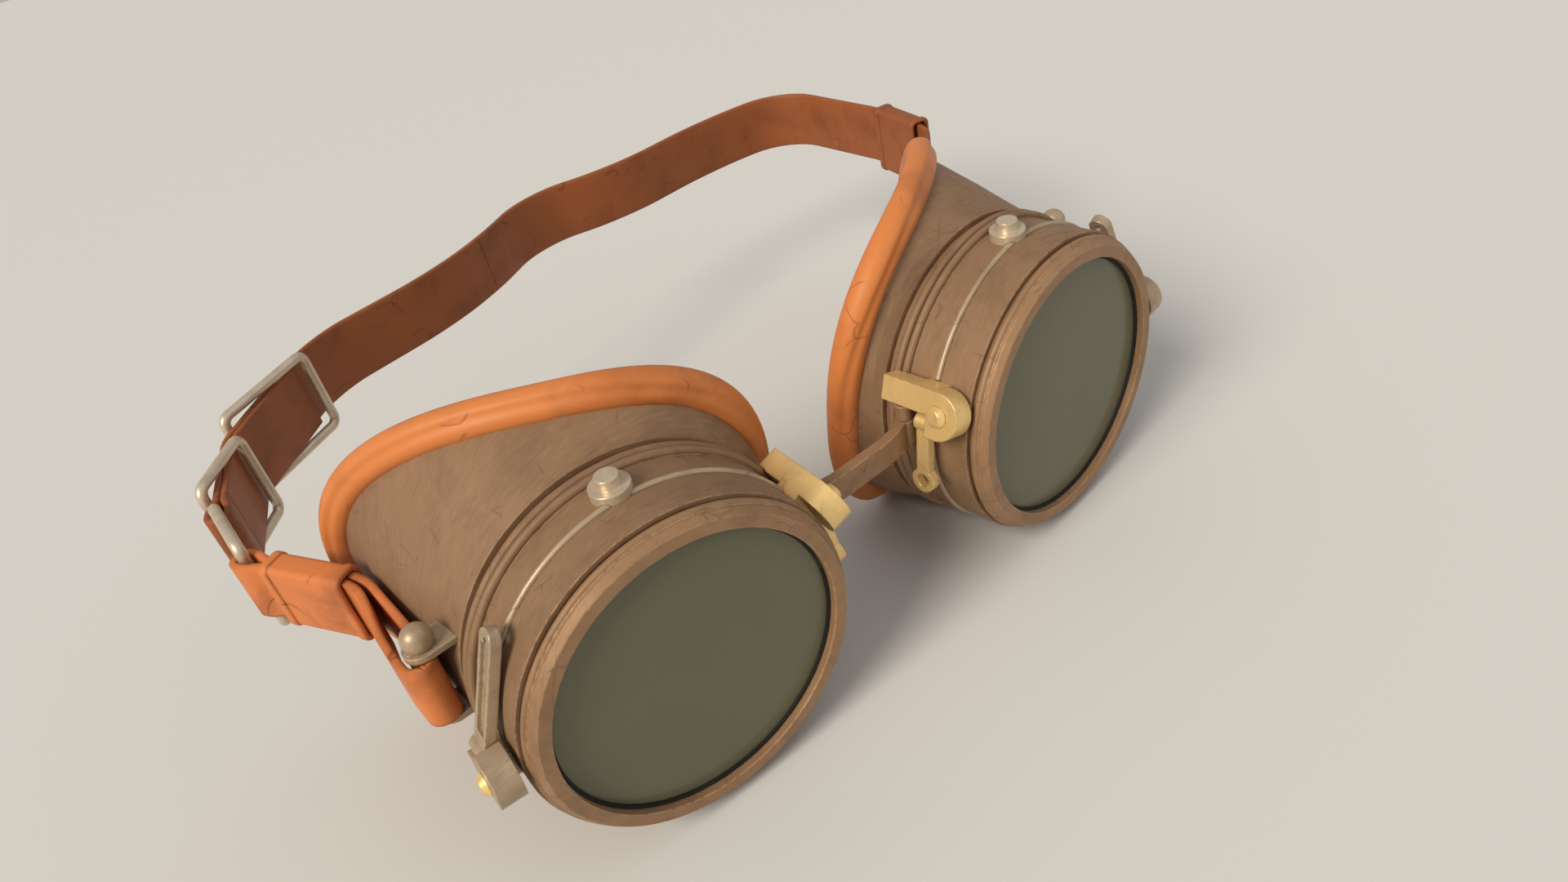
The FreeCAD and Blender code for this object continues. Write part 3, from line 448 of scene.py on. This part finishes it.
def black_rubber(name, tint):
    """Matt rubber with a dusty bloom."""
    bloom_limits, bloom_share, bloom_gain = (0.5, 0.8), 0.12, 12
    roughness, brush_roughness = 0.55, 0.2
    made, tree, shader = new_material(name)
    patina = placed(tree, "patina", Cloud_scale=300.0)
    body = shaded(tree, opaque(tint), ramp(tree, patina["Cloud"], *bloom_limits), bloom_share,
                  [bloom_gain * part for part in tint])
    tree.links.new(body, shader.inputs["Base Color"])
    tree.links.new(scaled(tree, roughness, patina["Brush"], brush_roughness), shader.inputs["Roughness"])
    return made


def give(piece, material):
    piece.data.materials.clear()
    piece.data.materials.append(bpy.data.materials[material])


# Modelling by hand


def deselect():
    """Object mode with nothing selected."""
    if bpy.context.object and bpy.context.object.mode != "OBJECT":
        bpy.ops.object.mode_set(mode="OBJECT")
    bpy.ops.object.select_all(action="DESELECT")


def activate(*pieces):
    deselect()
    for piece in pieces:
        piece.select_set(True)
    bpy.context.view_layer.objects.active = pieces[0]


def finish_with(piece, kind, **settings):
    """Add a modifier to a piece and apply it."""
    activate(piece)
    made = piece.modifiers.new(kind.lower(), kind)
    for key, value in settings.items():
        setattr(made, key, value)
    bpy.ops.object.modifier_apply(modifier=made.name)


def twin(piece, name):
    """A copy of a piece with a mesh of its own."""
    made = piece.copy()
    made.data = piece.data.copy()
    made.name = made.data.name = name
    bpy.context.collection.objects.link(made)
    return made


def corner_reach(points, index, radius):
    """How far from a corner of a route its rounding starts."""
    before, here, after = points[index - 1], points[index], points[(index + 1) % len(points)]
    run_in, run_out = here - before, after - here
    if radius is None:
        return CORNER_RUN_SHARE * min(run_in.length, run_out.length)
    return radius * math.tan(run_in.angle(run_out) / 2)


def select_edges(piece, wanted):
    """Select the edges that are wanted, and say whether there are any."""
    bpy.ops.mesh.select_all(action="DESELECT")
    mesh = bmesh.from_edit_mesh(piece.data)
    for edge in mesh.edges:
        edge.select = wanted(edge)
    found = any(edge.select for edge in mesh.edges)
    bmesh.update_edit_mesh(piece.data)
    return found


def upright(edge):
    return abs(edge.verts[0].co.z - edge.verts[1].co.z) > MEETING


def merge_points():
    """Join the points of the open mesh that meet."""
    bpy.ops.mesh.select_all(action="SELECT")
    bpy.ops.mesh.remove_doubles(threshold=MEETING)


def strip(name, route, radii, width, thickness, closed=False):
    """A strip of leather standing on its edge along a flat route, its corners bent round."""
    size = bpy.context.scene.goggles_sizes
    stops = route + route[:1] if closed else route
    deselect()
    bpy.ops.mesh.primitive_grid_add(x_subdivisions=len(stops) - 1, y_subdivisions=1, size=2)
    piece = bpy.context.object
    piece.name = piece.data.name = name
    for vertex in piece.data.vertices:
        stop = stops[round((vertex.co.x + 1) / 2 * (len(stops) - 1))]
        vertex.co = (stop.x, stop.y, vertex.co.y * width / 2)
    bpy.ops.object.mode_set(mode="EDIT")
    bpy.ops.mesh.select_mode(type="EDGE")
    merge_points()
    for index in range(len(route)) if closed else range(1, len(route) - 1):
        corner = route[index].xy
        select_edges(piece, lambda edge: all((end.co.xy - corner).length < MEETING for end in edge.verts))
        bpy.ops.mesh.bevel(offset_type="OFFSET", offset=corner_reach(route, index, radii.get(index)),
                           segments=BEND_SEGMENTS, affect="EDGES", clamp_overlap=False)
    longest = LONGEST_STEP_SHARE * size.strap_thickness
    while select_edges(piece, lambda edge: not upright(edge) and edge.calc_length() > longest):
        bpy.ops.mesh.subdivide(number_cuts=1)
    select_edges(piece, upright)
    bpy.ops.mesh.subdivide(number_cuts=WIDTH_CUTS)
    bpy.ops.object.mode_set(mode="OBJECT")
    finish_with(piece, "SOLIDIFY", thickness=thickness, offset=0, use_even_offset=True)
    finish_with(piece, "BEVEL", width=size.edge_round, segments=EDGE_SEGMENTS, limit_method="ANGLE",
                angle_limit=SHARP_EDGE)
    bpy.ops.object.mode_set(mode="EDIT")
    merge_points()
    bpy.ops.object.mode_set(mode="OBJECT")
    return piece


def set_in_place(piece, place):
    """Move the mesh to its place, with the object left at the origin, and smooth it."""
    piece.data.transform(place)
    activate(piece)
    bpy.ops.object.mode_set(mode="EDIT")
    bpy.ops.mesh.select_all(action="SELECT")
    bpy.ops.mesh.normals_make_consistent(inside=False)
    bpy.ops.object.mode_set(mode="OBJECT")
    bpy.ops.object.shade_smooth_by_angle(angle=SMOOTH_EDGE)
    return piece


# Places of the leather, as seen in plan before the pitch


def plan(x, y):
    return Vector((x, y, 0))


def side_point(sign, along, out=0.0):
    """A point of the strap's line at the temple, backwards and outwards from the pinch behind the lobe."""
    x = PINCH_SIDE + along * math.sin(STRAP_SPLAY) + out * math.cos(STRAP_SPLAY)
    y = PINCH_DEPTH + along * math.cos(STRAP_SPLAY) - out * math.sin(STRAP_SPLAY)
    return plan(sign * x, y)


def loop_side(sign, out, tail):
    """One layer of a loop, from its tail forwards: the pinch, then beside the strap pin to its front."""
    x = PIN_SIDE + math.copysign(LOOP_HALF_GAP, out)
    lobe = [plan(sign * x, PIN_DEPTH + LOBE_LENGTH),
            plan(sign * x, PIN_DEPTH - LOBE_LEAD - LOOP_HALF_GAP)]
    return [*tail, side_point(sign, 0, out), *lobe]


def strap_back():
    return [plan(STRAP_SPREAD * x, STRAP_DEPTH * y) for x, y in STRAP_ROUTE_SHARES]


def fold_gap(thickness):
    """Half the distance between two layers of leather folded round a wire."""
    return HARDWARE_WIRE + FOLD_CLEARANCE + thickness / 2


def ring_run():
    """The ring's rear bar, and the way from it along the strap."""
    bar = side_point(-1, LOOP_LENGTH) + plan(math.sin(RING_TOE), math.cos(RING_TOE)) * RING_LENGTH
    return bar, (strap_back()[0] - bar).normalized()


def head_strap_route(thickness):
    """The strap from its tail round the ring's rear bar, round the back and into the right loop."""
    back = strap_back()
    bar, first = ring_run()
    half = (thickness + 2 * LAYER_GAP) / 2
    fold = fold_gap(thickness)
    up = Vector((0, 0, 1))
    second = (back[1] - back[0]).normalized()
    inwards, after = first.cross(up), second.cross(up)
    bisector = (inwards + after).normalized()
    tail = back[0] + (back[1] - back[0]) * TAIL_RUN_SHARE + after * half
    route = [tail, back[0] + bisector * half, bar + first * FOLD_REACH + inwards * half,
             bar + (first + inwards) * fold, bar + (inwards - first) * fold,
             bar - (inwards + first) * fold, bar + (first - inwards) * fold,
             bar + first * FOLD_REACH - inwards * half, back[0] - bisector * half,
             back[1] - after * half, *back[2:], side_point(1, STRAP_ENTRY), side_point(1, STRAP_INSET)]
    tight = FOLD_ROUND_SHARE * fold
    radii = {1: STRAP_BEND - half, 4: tight, 5: tight, 8: STRAP_BEND + half, 9: STRAP_CURVE,
             len(route) - 2: STRAP_BEND, len(route) - 3: STRAP_BEND, len(route) - 4: STRAP_CURVE}
    return route, radii


def raised(rise):
    """The pitched frame at a height of the strap."""
    return PITCH @ Matrix.Translation((0, 0, rise))


class GOGGLES_OT_finishes(bpy.types.Operator):
    """Make the finishes that the pieces share."""

    bl_idname = "goggles.finishes"
    bl_label = "Finishes"

    def execute(self, context):
        tint = context.scene.goggles_colours
        edge_wear_group()
        patina_group()
        hide_group()
        worn_metal("aged bronze", tint.bronze, tint.bronze_dark, tint.worn_edge,
                   metallic=0.15, roughness=0.5)
        worn_metal("satin copper", tint.copper, tint.bronze_dark, tint.worn_edge,
                   metallic=0.2, roughness=0.44, edge=0.45 * MM)
        worn_metal("pale brass", tint.brass, tint.brass_dark, tint.worn_edge,
                   metallic=0.55, roughness=0.30, cloud=220.0)
        worn_metal("worn silver", tint.silver, tint.silver_dark, tint.silver,
                   metallic=0.6, roughness=0.30, cloud=260.0)
        worn_metal("tan nickel", tint.nickel, tint.bronze_dark, tint.silver,
                   metallic=0.4, roughness=0.34, cloud=260.0)
        olive_glass("olive glass", tint.lens)
        black_rubber("black rubber", tint.rubber)
        hide_leather("pad leather", tint.pad, tint.pad_dark, roughness=0.42, grain=1500.0,
                     edge=0.5 * MM, burnish=3.0)
        # One leather in two copies: the strap's is darkened as painted shade, and the loops' is brightened
        # as painted light.
        for name, base in (("strap leather", tint.strap), ("loop leather", tint.loop)):
            hide_leather(name, base, tint.strap_dark, roughness=0.45, grain=1300.0,
                         edge=0.9 * MM, burnish=2.2)
        return {"FINISHED"}


class GOGGLES_OT_metal(bpy.types.Operator):
    """Give the turned, bent and cast metal pieces their worn finishes."""

    bl_idname = "goggles.metal"
    bl_label = "Metal pieces"

    def execute(self, context):
        finishes = {
            "aged bronze": ("lens_barrel", "face_cup", "bridge_pin"),
            "satin copper": ("bezel",),
            "pale brass": ("nose_block", "nose_rivet", "nose_lever", "nose_lever_pin", "temple_screw"),
            "tan nickel": ("upper_wire", "lower_wire", "temple_block", "temple_lever",
                           "temple_lever_pin", "strap_bracket", "strap_tab", "strap_pin", "bracket_ball"),
            "worn silver": ("wire_stud",),
        }
        for finish, names in finishes.items():
            for side, sign in SIDES:
                for name in names:
                    give(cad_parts[f"{side}_{name}"], finish)
        for name in ("strap_ring", "strap_slider", "strap_buckle", "strap_rivet"):
            give(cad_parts[name], "worn silver")
        give(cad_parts["nose_bridge"], "satin copper")
        return {"FINISHED"}


class GOGGLES_OT_glass(bpy.types.Operator):
    """Give the lenses and their seals their finishes."""

    bl_idname = "goggles.glass"
    bl_label = "Lenses and seals"

    def execute(self, context):
        for side, sign in SIDES:
            give(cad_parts[side + "_lens"], "olive glass")
            give(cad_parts[side + "_front_seal"], "black rubber")
            give(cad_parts[side + "_rear_gasket"], "black rubber")
        return {"FINISHED"}


def rim_point(angle):
    """Middle of the rolled pad at an angle from the temple."""
    across, up = (math.copysign(abs(part) ** RIM_SQUARE_SHARE, part)
                  for part in (math.cos(angle), math.sin(angle)))
    return Vector((RIM_CENTER + RIM_HALF_WIDTH * across,
                   RIM_DEPTH + RIM_SWEEP * across + RIM_CURVE * across ** 2 - RIM_LEAN * up,
                   RIM_RISE + RIM_HALF_HEIGHT * up))


def rim_frame(angle, step):
    """Rim point, direction to the cup's wall and direction out of the cup, square to the pad's run."""
    point = rim_point(angle)
    along = (rim_point(angle + step) - rim_point(angle - step)).normalized()
    toe = Matrix.Translation((LENS_SPACING / 2, 0, 0)) @ Matrix.Rotation(CUP_TOE, 4, "Z")
    foot = toe @ Vector((NECK_RADIUS * math.cos(angle), CUP_FRONT, NECK_RADIUS * math.sin(angle)))
    to_cup = foot - point
    to_cup = (to_cup - along * to_cup.dot(along)).normalized()
    out = along.cross(to_cup)
    if out.dot(point - rim_point(angle + math.pi)) < 0:
        out = -out
    return point, to_cup, out


class GOGGLES_OT_pads(bpy.types.Operator):
    """Roll the two leather pads, with the sewn crease beside the cup."""

    bl_idname = "goggles.pads"
    bl_label = "Rolled pads"

    def execute(self, context):
        size = context.scene.goggles_sizes
        stations, rounds, torus_share = 120, 28, 0.25
        crease_angle, crease_width = math.radians(58), math.radians(13)
        grip_width = math.radians(24)
        deselect()
        bpy.ops.mesh.primitive_torus_add(major_segments=stations, minor_segments=rounds, major_radius=1,
                                         minor_radius=torus_share)
        piece = context.object
        for vertex in piece.data.vertices:
            angle = math.atan2(vertex.co.y, vertex.co.x)
            turn = math.atan2(vertex.co.z, vertex.co.xy.length - 1)
            point, to_cup, out = rim_frame(angle, math.pi / stations)
            groove = math.exp(-((turn - crease_angle) / crease_width) ** 2)
            grip = math.exp(-(turn / grip_width) ** 2)
            radius = size.pad_radius - size.pad_crease * groove + size.pad_grip * grip
            vertex.co = point + (to_cup * math.cos(turn) + out * math.sin(turn)) * radius
        finish_with(piece, "SUBSURF", levels=1, render_levels=1)
        for side, sign in SIDES:
            pad = twin(piece, side + "_pad_leather")
            set_in_place(pad, PITCH @ Matrix.Diagonal((sign, 1, 1, 1)))
            give(pad, "pad leather")
            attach(pad, side + "_cup")
            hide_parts(side + "_face_pad")
        bpy.data.objects.remove(piece)
        return {"FINISHED"}


class GOGGLES_OT_loops(bpy.types.Operator):
    """Bend the leather loops round the strap pins."""

    bl_idname = "goggles.loops"
    bl_label = "Strap loops"

    def execute(self, context):
        size = context.scene.goggles_sizes
        thick = size.strap_thickness
        fold, layer = fold_gap(thick), thick + LAYER_GAP
        tight = FOLD_ROUND_SHARE * fold
        tails = {"left": ((LOOP_LENGTH + fold, fold), (LOOP_LENGTH - fold, fold),
                          (LOOP_LENGTH - FOLD_REACH, PINCH_HALF_GAP)),
                 "right": ((SLEEVE_LENGTH, layer), (STRAP_INSET, layer))}
        for side, sign in SIDES:
            outer, inner = (loop_side(sign, way * PINCH_HALF_GAP,
                                      [side_point(sign, along, way * out) for along, out in tails[side]])
                            for way in (1, -1))
            route = outer + inner[::-1]
            lobe = len(outer) - 1
            radii = {lobe - 2: STRAP_BEND, lobe: LOOP_HALF_GAP,
                     lobe + 1: LOOP_HALF_GAP, lobe + 3: STRAP_BEND}
            if side == "left":
                radii.update({0: tight, len(route) - 1: tight})
            loop = strip(side + "_loop_leather", route, radii, size.loop_width, thick,
                         closed=side == "left")
            set_in_place(loop, raised(LOOP_RISE))
            # The loops get the copy of the strap leather that is brightened as painted light.
            give(loop, "loop leather")
            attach(loop, side + "_cup")
            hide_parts(side + "_strap_loop")
        return {"FINISHED"}


class GOGGLES_OT_keepers(bpy.types.Operator):
    """Fold the leather sleeves with their raised borders."""

    bl_idname = "goggles.keepers"
    bl_label = "Keepers"

    def sleeve(self, name, deep, tall, wall, length, start):
        """A band round the strap, its width along the strap, from a start."""
        corners = ((1, 1), (-1, 1), (-1, -1), (1, -1))
        route = [plan(x * (deep + wall / 2), z * (tall + wall / 2)) for x, z in corners]
        band = strip(name, route, dict.fromkeys(range(len(corners)), wall), length, wall, closed=True)
        stand = Matrix.Rotation(math.radians(90), 4, "X")
        band.data.transform(Matrix.Translation((0, start + length / 2, 0)) @ stand)
        return band

    def execute(self, context):
        size = context.scene.goggles_sizes
        deep = PINCH_HALF_GAP + size.strap_thickness / 2 + KEEPER_PLAY
        far, near = strap_back()[-2:]
        heading = math.atan2(near.x - far.x, far.y - near.y)
        run = near.lerp(far, KEEPER_RUN_SHARE)
        loop_start = side_point(-1, KEEPER_START)
        # The left keeper gets the loops' leather, brightened as painted light. The right keeper gets the
        # strap's leather, darkened as painted shade.
        places = {"left": ("loop", LOOP_RISE, size.loop_width, loop_start, STRAP_SPLAY),
                  "right": ("strap", STRAP_RISE, size.strap_width, run, heading)}
        rim_wall = size.keeper_wall + size.keeper_raise
        for side, (piece, rise, width, at, turn) in places.items():
            tall = width / 2 + KEEPER_PLAY
            body = self.sleeve(side + "_keeper_leather", deep, tall, size.keeper_wall,
                               size.keeper_length, 0)
            rims = [self.sleeve("rim", deep, tall, rim_wall, size.keeper_border, start)
                    for start in (0, size.keeper_length - size.keeper_border)]
            activate(body, *rims)
            bpy.ops.object.join()
            set_in_place(body, raised(rise) @ Matrix.Translation(at) @ Matrix.Rotation(turn, 4, "Z"))
            give(body, piece + " leather")
            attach(body, side + "_keeper")
            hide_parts(side + "_keeper")
        return {"FINISHED"}


class GOGGLES_OT_head_strap(bpy.types.Operator):
    """Bend the head strap and part it into its end at the ring and its two halves."""

    bl_idname = "goggles.head_strap"
    bl_label = "Head strap"

    def parted(self, whole, name, planes):
        """A copy of the strap, with all that lies behind each plane cut away."""
        part = twin(whole, name)
        activate(part)
        bpy.ops.object.mode_set(mode="EDIT")
        for point, ahead in planes:
            bpy.ops.mesh.select_all(action="SELECT")
            bpy.ops.mesh.bisect(plane_co=point, plane_no=ahead, use_fill=True, clear_inner=True)
        bpy.ops.object.mode_set(mode="OBJECT")
        return part

    def execute(self, context):
        size = context.scene.goggles_sizes
        route, radii = head_strap_route(size.strap_thickness)
        whole = strip("head_strap_leather", route, radii, size.strap_width, size.strap_thickness)
        back = strap_back()
        split = back[SPLIT_CORNER]
        across = (back[SPLIT_CORNER + 1] - back[SPLIT_CORNER - 1]).normalized()
        place = raised(STRAP_RISE)
        bar, first = ring_run()
        seam = bar + first * STRAP_SEAM
        fold = bar + first * fold_gap(size.strap_thickness)
        parts = {
            "ring_strap_leather": (((seam, -first),), "ring", "left_cup",
                                   fold, bar + first * RING_FOLLOW),
            "left_strap_leather": (((seam, first), (split, -across)), "left_cup", "bridge",
                                   back[1], split),
            "right_strap_leather": (((split, across),), "right_cup", "bridge",
                                    back[-3], split + plan(0, BLEND_PAST_SPLIT)),
        }
        for name, (planes, near, far, start, end) in parts.items():
            part = self.parted(whole, name, planes)
            set_in_place(part, place)
            # The strap parts get the leather that is darkened as painted shade.
            give(part, "strap leather")
            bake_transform(part)
            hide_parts("head_strap")
        bpy.data.objects.remove(whole)
        return {"FINISHED"}


class GOGGLES_OT_stage(bpy.types.Operator):
    """Set the pale floor, the soft lights and the camera."""

    bl_idname = "goggles.stage"
    bl_label = "Stage"

    # Where the photograph was taken from, in the row frame
    camera_place = Vector((-82.156, -105.770, 100.623)) * MM
    camera_right = Vector((0.74128, -0.62417, -0.24682))
    camera_ahead = Vector((0.44282, 0.73114, -0.51898))
    camera_lens = 24.44
    camera_near = 10 * MM

    # A floor so wide that its edge is out of sight
    floor_size = 600
    floor_roughness = 0.7

    # Towards each soft light: its strength, how wide it looks in degrees, and its tint
    lights = {
        "key": (Vector((-0.60, -0.16, 0.50)), 2.9, 28, (1.0, 0.92, 0.80)),
        "fill": (Vector((0.45, -0.60, 0.55)), 0.5, 90, (0.90, 0.95, 1.0)),
    }
    sky, sky_strength = (1.0, 0.98, 0.95), 0.42

    def light(self, name):
        towards, strength, width, tint = self.lights[name]
        lamp = bpy.data.lights.new(name, "SUN")
        lamp.angle = math.radians(width)
        lamp.energy = strength
        lamp.color = tint
        made = bpy.data.objects.new(name, lamp)
        made.location = towards
        made.rotation_euler = (-towards).to_track_quat("-Z", "Y").to_euler()
        bpy.context.collection.objects.link(made)

    def execute(self, context):
        low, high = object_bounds()
        middle = (low + high) / 2
        deselect()
        bpy.ops.mesh.primitive_plane_add(size=self.floor_size)
        floor = context.object
        floor.name = "floor"
        floor.data.transform(Matrix.Translation((middle.x, middle.y, low.z)))
        made, tree, shader = new_material("floor")
        shader.inputs["Base Color"].default_value = opaque(context.scene.goggles_colours.floor)
        shader.inputs["Roughness"].default_value = self.floor_roughness
        give(floor, "floor")
        floor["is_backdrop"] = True
        for name in self.lights:
            self.light(name)
        world = bpy.data.worlds.new("studio")
        world.use_nodes = True
        sky = world.node_tree.nodes["Background"].inputs
        sky["Color"].default_value = opaque(self.sky)
        sky["Strength"].default_value = self.sky_strength
        context.scene.world = world
        camera = bpy.data.objects.new("camera", bpy.data.cameras.new("camera"))
        camera.data.lens = self.camera_lens
        camera.data.clip_start = self.camera_near
        right, back = self.camera_right.normalized(), -self.camera_ahead.normalized()
        turn = Matrix((right, back.cross(right), back)).transposed().to_4x4()
        camera.matrix_world = Matrix.Translation(self.camera_place) @ turn
        context.collection.objects.link(camera)
        context.scene.camera = camera
        context.scene.view_settings.view_transform = "Standard"
        return {"FINISHED"}


OPERATORS = (
    GOGGLES_OT_finishes,
    GOGGLES_OT_metal,
    GOGGLES_OT_glass,
    GOGGLES_OT_pads,
    GOGGLES_OT_loops,
    GOGGLES_OT_keepers,
    GOGGLES_OT_head_strap,
    GOGGLES_OT_stage,
)


class GOGGLES_PT_panel(bpy.types.Panel):
    """The goggles' pieces, in the order in which they are made."""

    bl_idname = "GOGGLES_PT_panel"
    bl_label = "Goggles"
    bl_space_type = "VIEW_3D"
    bl_region_type = "UI"
    bl_category = "Goggles"

    def draw(self, context):
        for operator in OPERATORS:
            self.layout.operator(operator.bl_idname)


CLASSES = (GogglesSizes, GogglesColours, *OPERATORS, GOGGLES_PT_panel)


def register():
    for item in CLASSES:
        bpy.utils.register_class(item)
    bpy.types.Scene.goggles_sizes = PointerProperty(type=GogglesSizes)
    bpy.types.Scene.goggles_colours = PointerProperty(type=GogglesColours)


def unregister():
    del bpy.types.Scene.goggles_colours
    del bpy.types.Scene.goggles_sizes
    for item in reversed(CLASSES):
        bpy.utils.unregister_class(item)


def main():
    register()
    bpy.ops.goggles.finishes()
    bpy.ops.goggles.metal()
    bpy.ops.goggles.glass()
    bpy.ops.goggles.pads()
    bpy.ops.goggles.loops()
    bpy.ops.goggles.keepers()
    bpy.ops.goggles.head_strap()
    bpy.ops.goggles.stage()


if __name__ == "__main__":
    main()
